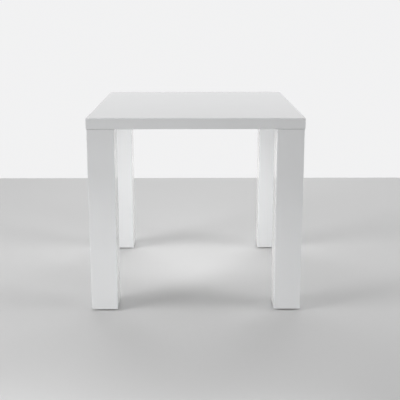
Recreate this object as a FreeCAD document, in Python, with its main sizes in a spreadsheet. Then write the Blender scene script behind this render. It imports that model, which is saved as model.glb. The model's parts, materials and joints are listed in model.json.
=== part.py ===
import FreeCAD, Part
import enum
import math
import os
import Sketcher

# A square parsons dining table: a hollow-core top on four mitred box legs that stand on levelling feet.
# Millimetres. The floor is z = 0, the table's middle is over the origin, and its front faces -Y.

# Each driving size: its name, its value, and what it measures
DRIVING_SIZES = (
    ("table_width", 800, "left to right over the edge bands"),
    ("table_depth", 800, "front to back over the edge bands"),
    ("table_height", 745, "floor to the table surface"),
    ("top_thickness", 40, "tabletop over both skins"),
    ("skin_thickness", 5, "each skin of the hollow-core board"),
    ("band_thickness", 2, "edging round the board"),
    ("band_rounding_share", 0.75, "rounding of the edging, as a share of its thickness"),
    ("rail_width", 25, "frame inside the edging"),
    ("block_margin", 14, "corner block past the plate under it"),
    ("cell_width", 48, "honeycomb cell across its flats"),
    ("cell_wall", 1.2, "paper between two cells"),
    ("least_cell_share", 0.15, "smallest cut cell kept, as a share of a whole cell"),
    ("core_clearance", 0.5, "honeycomb to the frame"),
    ("leg_side", 100, "leg across its faces"),
    ("board_thickness", 12, "boards of a leg"),
    ("leg_inset", 2, "leg's outer face to the table's edge"),
    ("leg_rounding", 1.5, "upright corners of a leg"),
    ("joint_gap", 1, "shadow gap between a leg and the top"),
    ("top_block_height", 60, "block in the head of a leg"),
    ("foot_block_height", 50, "block in the end of a leg"),
    ("plate_setback", 6, "leg's outer face to the edge of its steel plate"),
    ("plate_flange", 56, "plate past the leg's inner face"),
    ("plate_corner", 8, "rounding of the plate's corners"),
    ("plate_clearance", 0.5, "round the plate in the lower skin"),
    ("screw_diameter", 5, "plate screw's shank"),
    ("screw_length", 40, "plate screw with its head"),
    ("screw_point", 6, "tapered end of a plate screw"),
    ("screw_head_height", 2.5, "countersunk head"),
    ("screw_edge", 16, "plate screw to the inside of the leg's boards"),
    ("screw_clearance", 0.1, "round a plate screw"),
    ("bolt_diameter", 8, "bolt that holds the plate to the top"),
    ("bolt_flats", 13, "bolt head across its flats"),
    ("bolt_head_height", 5.3, "bolt head"),
    ("bolt_shortfall", 3, "bolt's end to the end of its threaded sleeve"),
    ("bolt_clearance", 0.5, "round a bolt in the plate"),
    ("washer_rim", 3.8, "washer from its hole to its edge"),
    ("washer_thickness", 1.6, "washer under a bolt head"),
    ("washer_clearance", 0.2, "round a bolt in its washer"),
    ("insert_wall", 2, "threaded sleeves"),
    ("insert_cover", 10, "corner block over the bolts' sleeves"),
    ("foot_insert_length", 20, "threaded sleeve in a foot block"),
    ("thread_clearance", 0.08, "round a screw in its threaded sleeve"),
    ("press_clearance", 0.05, "round a sleeve in its hole"),
    ("hole_end_clearance", 1, "past the end of what a blind hole holds"),
    ("foot_base_diameter", 38, "pad on the floor"),
    ("foot_base_height", 3.2, "pad on the floor"),
    ("base_rounding_share", 0.25, "rounding of the pad's rim, as a share of its height"),
    ("socket_floor_share", 0.3, "pad under its socket, as a share of its height"),
    ("lip_share", 0.3, "lip that the pad snaps over, as a share of the pad's height"),
    ("lip_reach", 1.25, "lip past the neck of the stud"),
    ("spigot_diameter", 8, "neck of the stud, which turns in the pad"),
    ("swivel_clearance", 0.08, "round the neck and the lip"),
    ("collar_flats", 14, "stud's collar across its flats"),
    ("collar_height", 2.8, "stud's collar, between the pad and the leg"),
    ("stud_diameter", 8, "levelling screw"),
    ("stud_length", 35, "levelling screw above its collar"),
    ("stud_bevel_share", 0.2, "bevel on the stud's end, as a share of its radius"),
)

# Each worked-out size: its name, its formula, and what it measures
WORKED_OUT_SIZES = (
    ("half_width", "=table_width / 2", "middle to the side edge"),
    ("half_depth", "=table_depth / 2", "middle to the front edge"),
    ("panel_half_width", "=half_width - band_thickness", "middle to the board's side"),
    ("panel_half_depth", "=half_depth - band_thickness", "middle to the board's front"),
    ("rail_half_depth", "=panel_half_depth - rail_width", "middle to the front rail"),
    ("band_rounding", "=band_thickness * band_rounding_share", "outer edges of the edging"),
    ("top_underside", "=table_height - top_thickness", "floor to the underside"),
    ("core_bottom", "=top_underside + skin_thickness", "floor to the core"),
    ("core_height", "=top_thickness - 2 * skin_thickness", "core between the skins"),
    ("core_top", "=core_bottom + core_height", "floor to the upper skin"),
    ("foot_gap", "=foot_base_height + collar_height", "floor to the end of a leg"),
    ("leg_top", "=top_underside - joint_gap", "floor to the head of a leg"),
    ("leg_height", "=leg_top - foot_gap", "boards of a leg"),
    ("leg_half", "=leg_side / 2", "middle of a leg to its face"),
    ("hollow_half", "=leg_half - board_thickness", "middle of a leg to the inside of its boards"),
    ("round_middle", "=leg_half - leg_rounding", "middle of a leg to the middle of its rounding"),
    ("leg_middle", "=leg_inset + leg_half", "table's corner to the middle of a leg"),
    ("leg_x", "=half_width - leg_middle", "middle to the middle of a leg"),
    ("leg_y", "=half_depth - leg_middle", "middle to the middle of a leg"),
    ("plate_thickness", "=skin_thickness + joint_gap", "steel plate, from the core to the leg"),
    ("plate_near", "=leg_inset + plate_setback", "table's corner to the plate"),
    ("plate_far", "=leg_inset + leg_side + plate_flange", "table's corner to the plate's far edge"),
    ("flange_middle", "=plate_far - plate_flange / 2", "table's corner to the far bolts"),
    ("pocket_near", "=plate_near - plate_clearance", "table's corner to the plate's pocket"),
    ("pocket_far", "=plate_far + plate_clearance", "table's corner to the pocket's far edge"),
    ("pocket_corner", "=plate_corner + plate_clearance", "rounding of the plate's pocket"),
    ("block_near", "=band_thickness + rail_width", "table's corner to a corner block"),
    ("block_far", "=plate_far + block_margin", "table's corner to a block's far face"),
    ("screw_radius", "=screw_diameter / 2", "plate screw's shank"),
    ("screw_head_radius", "=screw_radius + screw_head_height", "countersunk head"),
    ("screw_offset", "=hollow_half - screw_edge", "middle of a leg to its plate screws"),
    ("screw_near", "=leg_middle - screw_offset", "table's corner to the near screws"),
    ("screw_far", "=leg_middle + screw_offset", "table's corner to the far screws"),
    ("screw_reach", "=screw_length - plate_thickness", "plate screw below its plate"),
    ("screw_hole_radius", "=screw_radius + screw_clearance", "hole for a plate screw"),
    ("bolt_radius", "=bolt_diameter / 2", "bolt's shank"),
    ("bolt_seat", "=leg_top - washer_thickness", "floor to the bolt head's seat"),
    ("bolt_bottom", "=bolt_seat - bolt_head_height", "floor to the bolt head"),
    ("bolt_insert_length", "=core_height - insert_cover", "threaded sleeve in a corner block"),
    ("bolt_insert_top", "=core_bottom + bolt_insert_length", "floor to the top of a sleeve"),
    ("bolt_length", "=bolt_insert_top - bolt_shortfall - bolt_seat", "bolt past its head"),
    ("bolt_bore", "=bolt_radius + thread_clearance", "radius inside a bolt's sleeve"),
    ("bolt_insert_radius", "=bolt_bore + insert_wall", "bolt's sleeve"),
    ("washer_bore", "=bolt_radius + washer_clearance", "radius of a washer's hole"),
    ("washer_radius", "=washer_bore + washer_rim", "washer"),
    ("base_radius", "=foot_base_diameter / 2", "pad on the floor"),
    ("base_rounding", "=foot_base_height * base_rounding_share", "pad's rim"),
    ("socket_floor", "=foot_base_height * socket_floor_share", "floor to the pad's socket"),
    ("lip_bottom", "=socket_floor + swivel_clearance", "floor to the stud's lip"),
    ("lip_top", "=lip_bottom + foot_base_height * lip_share", "floor to the top of the lip"),
    ("socket_neck", "=lip_top + swivel_clearance", "floor to the neck of the pad's socket"),
    ("spigot_radius", "=spigot_diameter / 2", "stud's neck"),
    ("lip_radius", "=spigot_radius + lip_reach", "stud's lip"),
    ("stud_radius", "=stud_diameter / 2", "levelling screw"),
    ("stud_top", "=foot_gap + stud_length", "floor to the stud's end"),
    ("stud_bevel", "=stud_radius * stud_bevel_share", "bevel on the stud's end"),
    ("stud_bore", "=stud_radius + thread_clearance", "radius inside a stud's sleeve"),
    ("foot_insert_radius", "=stud_bore + insert_wall", "stud's sleeve"),
)

# The corners of the table in turn, each with the signs of its X and Y
CORNERS = {"front_left": (-1, -1), "front_right": (1, -1), "rear_right": (1, 1), "rear_left": (-1, 1)}

# The sides in turn
SIDES = ("front", "right", "rear", "left")

UPRIGHT = FreeCAD.Vector(0, 0, 1)
ZERO = "0"
SAME_PLACE = 1e-4
HEXAGON_SIDES = 6

# The number by which a sketch knows its own origin
SKETCH_ORIGIN = -1

doc = FreeCAD.newDocument("parsons_table")
pieces = []


class Point(enum.IntEnum):
    """The points of an edge, in the order in which a sketch numbers them."""

    START = enum.auto()
    END = enum.auto()
    MIDDLE = enum.auto()


def size_sheet():
    """The sheet of sizes, one to a row: what it measures, then its value under its name."""
    made = doc.addObject("Spreadsheet::Sheet", "sizes")
    for row, (name, value, measures) in enumerate(DRIVING_SIZES + WORKED_OUT_SIZES, start=1):
        made.set(f"A{row}", measures)
        made.set(f"B{row}", str(value))
        made.setAlias(f"B{row}", name)
    doc.recompute()
    return made


sizes = size_sheet()


def place(piece, x, y, z, turn=0):
    """Stands a piece at x, y and z, turned about its upright axis."""
    piece.Placement = FreeCAD.Placement(FreeCAD.Vector(), FreeCAD.Rotation(UPRIGHT, turn))
    for axis, formula in (("x", x), ("y", y), ("z", z)):
        piece.setExpression(f"Placement.Base.{axis}", formula)


def box(name, length, width, height, x, y, z):
    """A plain rectangular piece from its lowest corner."""
    made = doc.addObject("Part::Box", name)
    made.setExpression("Length", length)
    made.setExpression("Width", width)
    made.setExpression("Height", height)
    place(made, x, y, z)
    pieces.append(made)


def new_body(name, x=ZERO, y=ZERO, z=ZERO, turn=0):
    """A worked piece, empty as yet."""
    made = doc.addObject("PartDesign::Body", name)
    place(made, x, y, z, turn)
    return made


def sketch_on(body, plane="XY_Plane", height=ZERO):
    """An empty sketch on one of the body's own planes, or that far above it."""
    made = body.newObject("Sketcher::SketchObject", f"{body.Name}_sketch")
    support = next(part for part in body.Origin.OriginFeatures if part.Role == plane)
    made.AttachmentSupport = (support, [""])
    made.MapMode = "FlatFace"
    made.setExpression("AttachmentOffset.Base.z", height)
    return made


def pin(sketch, edge, point, x, y):
    """Ties a point of an edge to its place in the sketch."""
    ends = (SKETCH_ORIGIN, Point.START, edge, point)
    here = sketch.getPoint(edge, point)
    for formula, in_line, distance, start in (
        (x, "Vertical", "DistanceX", here.x),
        (y, "Horizontal", "DistanceY", here.y),
    ):
        if formula == ZERO:
            sketch.addConstraint(Sketcher.Constraint(in_line, *ends))
            continue
        tie = sketch.addConstraint(Sketcher.Constraint(distance, *ends, start))
        sketch.setExpression(f"Constraints[{tie}]", formula)


def draw_outline(sketch, corners):
    """A closed run of straight sides. Each corner starts on a unit circle and is then tied to its place."""
    first, count = sketch.GeometryCount, len(corners)
    angles = [math.tau * i / count for i in range(count)]
    start = [FreeCAD.Vector(math.cos(angle), math.sin(angle), 0) for angle in angles]
    for i in range(count):
        sketch.addGeometry(Part.LineSegment(start[i], start[(i + 1) % count]), False)
    for i, (x, y) in enumerate(corners):
        following = first + (i + 1) % count
        sketch.addConstraint(Sketcher.Constraint("Coincident", first + i, Point.END, following, Point.START))
        pin(sketch, first + i, Point.START, x, y)


def draw_rectangle(sketch, left, right, front, rear):
    draw_outline(sketch, [(left, front), (right, front), (right, rear), (left, rear)])


def draw_centred_rectangle(sketch, half_width, half_depth):
    draw_rectangle(sketch, f"-{half_width}", half_width, f"-{half_depth}", half_depth)


def draw_hexagon(sketch, flats):
    """A hexagon round the sketch's origin, by its width across the flats."""
    point, half_point, half_flats = f"{flats} / sqrt(3)", f"{flats} / sqrt(12)", f"{flats} / 2"
    draw_outline(
        sketch,
        [
            (point, ZERO),
            (half_point, half_flats),
            (f"-{half_point}", half_flats),
            (f"-{point}", ZERO),
            (f"-{half_point}", f"-{half_flats}"),
            (half_point, f"-{half_flats}"),
        ],
    )


def set_radius(sketch, edge, radius):
    tie = Sketcher.Constraint("Radius", edge, sketch.Geometry[edge].Radius)
    sketch.setExpression(f"Constraints[{sketch.addConstraint(tie)}]", radius)


def draw_circle(sketch, x, y, radius):
    circle = sketch.addGeometry(Part.Circle(FreeCAD.Vector(), UPRIGHT, 1), False)
    pin(sketch, circle, Point.MIDDLE, x, y)
    set_radius(sketch, circle, radius)


def pad(body, sketch, length, down=False):
    made = body.newObject("PartDesign::Pad", f"{body.Name}_pad")
    made.Profile = sketch
    made.setExpression("Length", length)
    made.Reversed = down
    return made


def pocket(body, sketch, depth, up=False):
    """Cuts down from the sketch, or up."""
    made = body.newObject("PartDesign::Pocket", f"{body.Name}_pocket")
    made.Profile = sketch
    made.setExpression("Length", depth)
    made.Reversed = up
    doc.recompute()
    if made.Shape.Volume >= made.BaseFeature.Shape.Volume:
        raise ValueError(f"{made.Name} cuts nothing")
    return made


def revolve(body, sketch):
    """Turns a sketch once round its upright axis."""
    made = body.newObject("PartDesign::Revolution", f"{body.Name}_turning")
    made.Profile = sketch
    made.ReferenceAxis = (sketch, ["V_Axis"])
    return made


def ease_edges(body, kind, picks, amount):
    """Rounds or bevels those edges of the body that picks chooses."""
    doc.recompute()
    base = body.Tip
    edges = [f"Edge{i}" for i, edge in enumerate(base.Shape.Edges, start=1) if picks(edge)]
    made = body.newObject(f"PartDesign::{kind}", f"{body.Name}_{kind.lower()}")
    made.Base = (base, edges)
    made.setExpression("Radius" if kind == "Fillet" else "Size", amount)
    return made


def is_upright(edge):
    ends = [vertex.Point for vertex in edge.Vertexes]
    return len(ends) == 2 and (ends[0] - ends[1]).cross(UPRIGHT).Length < SAME_PLACE


def is_circle_at(edge, z, radius):
    """Whether an edge is a circle of that radius at that height in its own body."""
    round_edge = isinstance(edge.Curve, Part.Circle)
    return (
        round_edge
        and abs(edge.Curve.Radius - radius) < SAME_PLACE
        and abs(edge.Curve.Center.z - z) < SAME_PLACE
    )


def both_ways(first, second):
    """The four places of a square pattern."""
    return [(x, y) for x in (first, second) for y in (first, second)]


# Where the fasteners stand, from a corner of the table: no bolt goes into the leg itself
SCREW_PLACES = both_ways("sizes.screw_near", "sizes.screw_far")
BOLT_PLACES = both_ways("sizes.leg_middle", "sizes.flange_middle")[1:]
LEG_MIDDLE = [("sizes.leg_middle", "sizes.leg_middle")]


def turn_from_first(name, names):
    """The angle in degrees that turns the first of the corners or sides into this one."""
    return math.degrees(math.tau * list(names).index(name) / len(names))


def signed(sign, formula):
    return formula if sign > 0 else f"-({formula})"


def corner_place(corner):
    """The X and Y of a corner of the table, with the turn that points its own axes into the table."""
    x_sign, y_sign = CORNERS[corner]
    x, y = signed(x_sign, "sizes.half_width"), signed(y_sign, "sizes.half_depth")
    return x, y, turn_from_first(corner, CORNERS)


def leg_place(corner):
    x_sign, y_sign = CORNERS[corner]
    return signed(x_sign, "sizes.leg_x"), signed(y_sign, "sizes.leg_y")


# Tabletop


def upper_skin():
    box(
        "upper_skin",
        "2 * sizes.panel_half_width",
        "2 * sizes.panel_half_depth",
        "sizes.skin_thickness",
        "-sizes.panel_half_width",
        "-sizes.panel_half_depth",
        "sizes.core_top",
    )


def lower_skin():
    """The underside, with a pocket through it in each corner for the leg's plate."""
    body = new_body("lower_skin", z="sizes.top_underside")
    sketch = sketch_on(body)
    draw_centred_rectangle(sketch, "sizes.panel_half_width", "sizes.panel_half_depth")
    for x_sign, y_sign in CORNERS.values():
        draw_rectangle(
            sketch,
            signed(x_sign, "sizes.half_width - sizes.pocket_far"),
            signed(x_sign, "sizes.half_width - sizes.pocket_near"),
            signed(y_sign, "sizes.half_depth - sizes.pocket_far"),
            signed(y_sign, "sizes.half_depth - sizes.pocket_near"),
        )
    pad(body, sketch, "sizes.skin_thickness")

    def is_pocket_corner(edge):
        return is_upright(edge) and abs(edge.CenterOfMass.x) < sizes.panel_half_width - SAME_PLACE

    ease_edges(body, "Fillet", is_pocket_corner, "sizes.pocket_corner")
    pieces.append(body)


def rails():
    """The frame inside the edging: the front and rear rails run through, the side rails fit between them."""
    for name, y in (("front_rail", "-sizes.panel_half_depth"), ("rear_rail", "sizes.rail_half_depth")):
        box(
            name,
            "2 * sizes.panel_half_width",
            "sizes.rail_width",
            "sizes.core_height",
            "-sizes.panel_half_width",
            y,
            "sizes.core_bottom",
        )
    for name, x in (
        ("left_rail", "-sizes.panel_half_width"),
        ("right_rail", "sizes.panel_half_width - sizes.rail_width"),
    ):
        box(
            name,
            "sizes.rail_width",
            "2 * sizes.rail_half_depth",
            "sizes.core_height",
            x,
            "-sizes.rail_half_depth",
            "sizes.core_bottom",
        )


def corner_block(corner):
    """A block in the corner of the frame, bored from below for the bolts' threaded sleeves."""
    x, y, turn = corner_place(corner)
    body = new_body(f"{corner}_corner_block", x, y, "sizes.core_bottom", turn)
    sketch = sketch_on(body)
    near, far = "sizes.block_near", "sizes.block_far"
    draw_rectangle(sketch, near, far, near, far)
    pad(body, sketch, "sizes.core_height")
    holes = sketch_on(body)
    for u, v in BOLT_PLACES:
        draw_circle(holes, u, v, "sizes.bolt_insert_radius + sizes.press_clearance")
    pocket(body, holes, "sizes.bolt_insert_length + sizes.hole_end_clearance", up=True)
    pieces.append(body)


def cross_face(reach_x, reach_y, arm_x, arm_y):
    """A flat cross whose arms reach that far from its middle and are that wide on each side of it."""
    across = Part.makePlane(2 * reach_x, 2 * arm_y, FreeCAD.Vector(-reach_x, -arm_y, 0))
    along = Part.makePlane(2 * arm_x, 2 * reach_y, FreeCAD.Vector(-arm_x, -reach_y, 0))
    return across.fuse(along).removeSplitter().Faces[0]


def hexagon_face(flats):
    """A flat hexagon round the origin, with two of its corners on the Y axis."""
    radius = flats / 2 / math.cos(math.pi / HEXAGON_SIDES)
    angles = [math.tau * i / HEXAGON_SIDES for i in range(HEXAGON_SIDES + 1)]
    corners = [FreeCAD.Vector(math.sin(angle), math.cos(angle), 0) * radius for angle in angles]
    return Part.Face(Part.makePolygon(corners))


def honeycomb_core():
    """Paper cells that fill the cross between the rails and the corner blocks, cut along its edge."""
    reach_x = sizes.half_width - sizes.block_near - sizes.core_clearance
    reach_y = sizes.half_depth - sizes.block_near - sizes.core_clearance
    arm_x = sizes.half_width - sizes.block_far - sizes.core_clearance
    arm_y = sizes.half_depth - sizes.block_far - sizes.core_clearance
    extents = (reach_x, reach_y, arm_x, arm_y)
    outside = cross_face(*extents)
    room = cross_face(*(extent - sizes.cell_wall for extent in extents))
    cell = hexagon_face(sizes.cell_width)
    across = sizes.cell_width + sizes.cell_wall
    along = across * math.cos(math.pi / HEXAGON_SIDES)
    columns, rows = math.ceil(reach_x / across), math.ceil(reach_y / along)
    openings = []
    for row in range(-rows, rows + 1):
        for column in range(-columns - 1, columns + 1):
            middle = FreeCAD.Vector((column + row % 2 / 2) * across, row * along, 0)
            cut = room.common(cell.translated(middle))
            openings += [part for part in cut.Faces if part.Area > sizes.least_cell_share * cell.Area]
    wires = [outside.OuterWire] + [opening.OuterWire for opening in openings]
    walls = Part.makeFace(wires, "Part::FaceMakerBullseye")
    made = doc.addObject("Part::Feature", "honeycomb_core")
    made.Shape = walls.extrude(UPRIGHT * sizes.core_height)
    place(made, ZERO, ZERO, "sizes.core_bottom")
    pieces.append(made)


def edge_band(side):
    """Edging on one side. The front and rear bands run through and cover the ends of the side bands."""
    places = {
        "front": (ZERO, "-sizes.half_depth"),
        "rear": (ZERO, "sizes.half_depth"),
        "left": ("-sizes.half_width", ZERO),
        "right": ("sizes.half_width", ZERO),
    }
    runs_through = side in ("front", "rear")
    half_length = "sizes.half_width" if runs_through else "sizes.panel_half_depth"
    x, y = places[side]
    turn = turn_from_first(side, SIDES)
    body = new_body(f"{side}_edge_band", x, y, "sizes.top_underside", turn)
    sketch = sketch_on(body)
    draw_rectangle(sketch, f"-{half_length}", half_length, ZERO, "sizes.band_thickness")
    pad(body, sketch, "sizes.top_thickness")

    def is_outer_edge(edge):
        ends = [vertex.Point for vertex in edge.Vertexes]
        at_back = edge.CenterOfMass.y > sizes.band_thickness - SAME_PLACE
        along_side = abs(ends[0].y) + abs(ends[1].y) < SAME_PLACE and not is_upright(edge)
        return along_side or (runs_through and not at_back)

    ease_edges(body, "Fillet", is_outer_edge, "sizes.band_rounding")
    pieces.append(body)


# Legs


def leg_board(corner, side):
    """One mitred board of a leg, with half of the leg's rounding on each of its outer corners."""
    x, y = leg_place(corner)
    turn = turn_from_first(side, SIDES)
    body = new_body(f"{corner}_leg_{side}_board", x, y, "sizes.foot_gap", turn)
    sketch = sketch_on(body)
    face, inside, middle = sizes.leg_half, sizes.hollow_half, sizes.round_middle
    on_mitre = middle + sizes.leg_rounding / math.sqrt(2)
    down, mitre_turn = -math.pi / 2, math.pi / 4
    right_mitre, left_mitre = down + mitre_turn, down - mitre_turn

    def line(x_from, y_from, x_to, y_to):
        ends = FreeCAD.Vector(x_from, y_from, 0), FreeCAD.Vector(x_to, y_to, 0)
        return sketch.addGeometry(Part.LineSegment(*ends), False)

    def rounding(x_middle, start, end):
        circle = Part.Circle(FreeCAD.Vector(x_middle, -middle, 0), UPRIGHT, sizes.leg_rounding)
        return sketch.addGeometry(Part.ArcOfCircle(circle, start, end), False)

    outer = line(-middle, -face, middle, -face)
    right_arc = rounding(middle, down, right_mitre)
    right_cut = line(on_mitre, -on_mitre, inside, -inside)
    inner = line(inside, -inside, -inside, -inside)
    left_cut = line(-inside, -inside, -on_mitre, -on_mitre)
    left_arc = rounding(-middle, left_mitre, down)
    for kind, *ends in (
        ("Tangent", outer, Point.END, right_arc, Point.START),
        ("Coincident", right_arc, Point.END, right_cut, Point.START),
        ("Coincident", right_cut, Point.END, inner, Point.START),
        ("Coincident", inner, Point.END, left_cut, Point.START),
        ("Coincident", left_cut, Point.END, left_arc, Point.START),
        ("Tangent", left_arc, Point.END, outer, Point.START),
        ("PointOnObject", right_arc, Point.MIDDLE, right_cut),
        ("PointOnObject", left_arc, Point.MIDDLE, left_cut),
        ("Equal", right_arc, left_arc),
    ):
        sketch.addConstraint(Sketcher.Constraint(kind, *ends))
    set_radius(sketch, right_arc, "sizes.leg_rounding")
    pin(sketch, right_arc, Point.MIDDLE, "sizes.round_middle", "-sizes.round_middle")
    pin(sketch, left_arc, Point.MIDDLE, "-sizes.round_middle", "-sizes.round_middle")
    pin(sketch, inner, Point.START, "sizes.hollow_half", "-sizes.hollow_half")
    pin(sketch, inner, Point.END, "-sizes.hollow_half", "-sizes.hollow_half")
    pad(body, sketch, "sizes.leg_height")
    pieces.append(body)


def top_block(corner):
    """The block in the head of a leg, bored from above for the plate screws."""
    x, y = leg_place(corner)
    body = new_body(f"{corner}_leg_top_block", x, y, "sizes.leg_top")
    sketch = sketch_on(body)
    draw_centred_rectangle(sketch, "sizes.hollow_half", "sizes.hollow_half")
    pad(body, sketch, "sizes.top_block_height", down=True)
    holes = sketch_on(body)
    for u, v in both_ways("-sizes.screw_offset", "sizes.screw_offset"):
        draw_circle(holes, u, v, "sizes.screw_hole_radius")
    pocket(body, holes, "sizes.screw_reach + sizes.hole_end_clearance")
    pieces.append(body)


def foot_block(corner):
    """The block in the end of a leg, bored from below for the threaded sleeve and the end of the stud."""
    x, y = leg_place(corner)
    body = new_body(f"{corner}_leg_foot_block", x, y, "sizes.foot_gap")
    sketch = sketch_on(body)
    draw_centred_rectangle(sketch, "sizes.hollow_half", "sizes.hollow_half")
    pad(body, sketch, "sizes.foot_block_height")
    for radius, depth in (
        ("sizes.foot_insert_radius + sizes.press_clearance", "sizes.foot_insert_length"),
        (
            "sizes.stud_bore",
            "max(sizes.stud_length; sizes.foot_insert_length) + sizes.hole_end_clearance",
        ),
    ):
        bore = sketch_on(body)
        draw_circle(bore, ZERO, ZERO, radius)
        pocket(body, bore, depth, up=True)
    pieces.append(body)


def leg_plate(corner):
    """The steel plate: screws hold it to the leg, and bolts through its flange hold it to the top."""
    x, y, turn = corner_place(corner)
    body = new_body(f"{corner}_leg_plate", x, y, "sizes.leg_top", turn)
    sketch = sketch_on(body)
    near, far = "sizes.plate_near", "sizes.plate_far"
    draw_rectangle(sketch, near, far, near, far)
    for u, v in SCREW_PLACES:
        draw_circle(sketch, u, v, "sizes.screw_hole_radius")
    for u, v in BOLT_PLACES:
        draw_circle(sketch, u, v, "sizes.bolt_radius + sizes.bolt_clearance")
    pad(body, sketch, "sizes.plate_thickness")

    def is_plate_corner(edge):
        rim = (sizes.plate_near, sizes.plate_far)
        at_rim = [min(abs(at - end) for end in rim) < SAME_PLACE for at in edge.CenterOfMass[:2]]
        return is_upright(edge) and all(at_rim)

    def is_screw_mouth(edge):
        return is_circle_at(edge, sizes.plate_thickness, sizes.screw_hole_radius)

    ease_edges(body, "Fillet", is_plate_corner, "sizes.plate_corner")
    ease_edges(body, "Chamfer", is_screw_mouth, "sizes.screw_head_height")
    pieces.append(body)


# Levelling feet


def foot_base(corner):
    """The round pad on the floor, with a socket that snaps over the stud's lip."""
    x, y = leg_place(corner)
    body = new_body(f"{corner}_foot_base", x, y)
    sketch = sketch_on(body, "XZ_Plane")
    neck = "sizes.spigot_radius + sizes.swivel_clearance"
    cavity = "sizes.lip_radius + sizes.swivel_clearance"
    draw_outline(
        sketch,
        [
            (ZERO, ZERO),
            ("sizes.base_radius", ZERO),
            ("sizes.base_radius", "sizes.foot_base_height"),
            (neck, "sizes.foot_base_height"),
            (neck, "sizes.socket_neck"),
            (cavity, "sizes.socket_neck"),
            (cavity, "sizes.socket_floor"),
            (ZERO, "sizes.socket_floor"),
        ],
    )
    revolve(body, sketch)

    def is_rim(edge):
        return any(
            is_circle_at(edge, z, sizes.base_radius) for z in (0, sizes.foot_base_height)
        )

    ease_edges(body, "Fillet", is_rim, "sizes.base_rounding")
    pieces.append(body)


def foot_stud(corner):
    """The levelling screw: a lip and a neck that turn in the pad, a spanner collar, and the thread."""
    x, y = leg_place(corner)
    body = new_body(f"{corner}_foot_stud", x, y)
    sketch = sketch_on(body, "XZ_Plane")
    draw_outline(
        sketch,
        [
            (ZERO, "sizes.lip_bottom"),
            ("sizes.lip_radius", "sizes.lip_bottom"),
            ("sizes.lip_radius", "sizes.lip_top"),
            ("sizes.spigot_radius", "sizes.lip_top"),
            ("sizes.spigot_radius", "sizes.foot_base_height"),
            (ZERO, "sizes.foot_base_height"),
        ],
    )
    revolve(body, sketch)
    collar = sketch_on(body, height="sizes.foot_base_height")
    draw_hexagon(collar, "sizes.collar_flats")
    pad(body, collar, "sizes.collar_height")
    thread = sketch_on(body, height="sizes.foot_gap")
    draw_circle(thread, ZERO, ZERO, "sizes.stud_radius")
    pad(body, thread, "sizes.stud_length")

    def is_end(edge):
        return is_circle_at(edge, sizes.stud_top, sizes.stud_radius)

    ease_edges(body, "Chamfer", is_end, "sizes.stud_bevel")
    pieces.append(body)


# Fasteners: one of each is worked, and a group holds a copy of it in each of its places


def plate_screw():
    """A countersunk screw that points down, with the top of its head at the origin."""
    body = new_body("plate_screw")
    sketch = sketch_on(body, "XZ_Plane")
    draw_outline(
        sketch,
        [
            (ZERO, ZERO),
            ("sizes.screw_head_radius", ZERO),
            ("sizes.screw_radius", "-sizes.screw_head_height"),
            ("sizes.screw_radius", "sizes.screw_point - sizes.screw_length"),
            (ZERO, "-sizes.screw_length"),
        ],
    )
    revolve(body, sketch)
    return body


def leg_bolt():
    """A hexagon bolt that points up, with the bottom of its head at the origin."""
    body = new_body("leg_bolt")
    head = sketch_on(body)
    draw_hexagon(head, "sizes.bolt_flats")
    pad(body, head, "sizes.bolt_head_height")
    shank = sketch_on(body, height="sizes.bolt_head_height")
    draw_circle(shank, ZERO, ZERO, "sizes.bolt_radius")
    pad(body, shank, "sizes.bolt_length")
    return body


def ring(name, outer_radius, inner_radius, height):
    """A washer or a sleeve that stands on the origin."""
    body = new_body(name)
    sketch = sketch_on(body)
    draw_circle(sketch, ZERO, ZERO, outer_radius)
    draw_circle(sketch, ZERO, ZERO, inner_radius)
    pad(body, sketch, height)
    return body


def group(name, original, places, z):
    """Copies of one fastener at the same places in every corner of the table, as separate solids."""
    copies = []
    for corner, (x_sign, y_sign) in CORNERS.items():
        for u, v in places:
            copy = doc.addObject("App::Link", f"{corner}_{original.Name}")
            copy.LinkedObject = original
            x = signed(x_sign, f"sizes.half_width - {u}")
            y = signed(y_sign, f"sizes.half_depth - {v}")
            place(copy, x, y, z)
            copies.append(copy)
    made = doc.addObject("Part::Compound", name)
    made.Links = copies
    pieces.append(made)


def fasteners():
    group("plate_screws", plate_screw(), SCREW_PLACES, "sizes.core_bottom")
    group("leg_bolts", leg_bolt(), BOLT_PLACES, "sizes.bolt_bottom")
    washer = ring("bolt_washer", "sizes.washer_radius", "sizes.washer_bore", "sizes.washer_thickness")
    group("bolt_washers", washer, BOLT_PLACES, "sizes.bolt_seat")
    bolt_insert = ring(
        "bolt_insert", "sizes.bolt_insert_radius", "sizes.bolt_bore", "sizes.bolt_insert_length"
    )
    group("bolt_inserts", bolt_insert, BOLT_PLACES, "sizes.core_bottom")
    foot_insert = ring(
        "foot_insert", "sizes.foot_insert_radius", "sizes.stud_bore", "sizes.foot_insert_length"
    )
    group("foot_inserts", foot_insert, LEG_MIDDLE, "sizes.foot_gap")


def build():
    upper_skin()
    lower_skin()
    rails()
    honeycomb_core()
    for side in SIDES:
        edge_band(side)
    for corner in CORNERS:
        corner_block(corner)
        leg_plate(corner)
        top_block(corner)
        foot_block(corner)
        for side in SIDES:
            leg_board(corner, side)
        foot_base(corner)
        foot_stud(corner)
    fasteners()
    doc.recompute()


def check():
    """Stops if any step failed or any piece is not a sound solid."""
    for part in doc.Objects:
        if "Invalid" in part.State or "Error" in part.State:
            raise ValueError(f"{part.Label} failed: {part.State}")
    for piece in pieces:
        if piece.Shape.isNull() or not piece.Shape.isValid() or not piece.Shape.Solids:
            raise ValueError(f"{piece.Label} is not a sound solid")


def write():
    os.makedirs("parts", exist_ok=True)
    for piece in pieces:
        piece.Shape.exportStep(f"parts/{piece.Label}.step")


build()
check()
write()
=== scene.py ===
import json
import math

import bmesh
import bpy
from mathutils import Matrix, Vector

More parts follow.
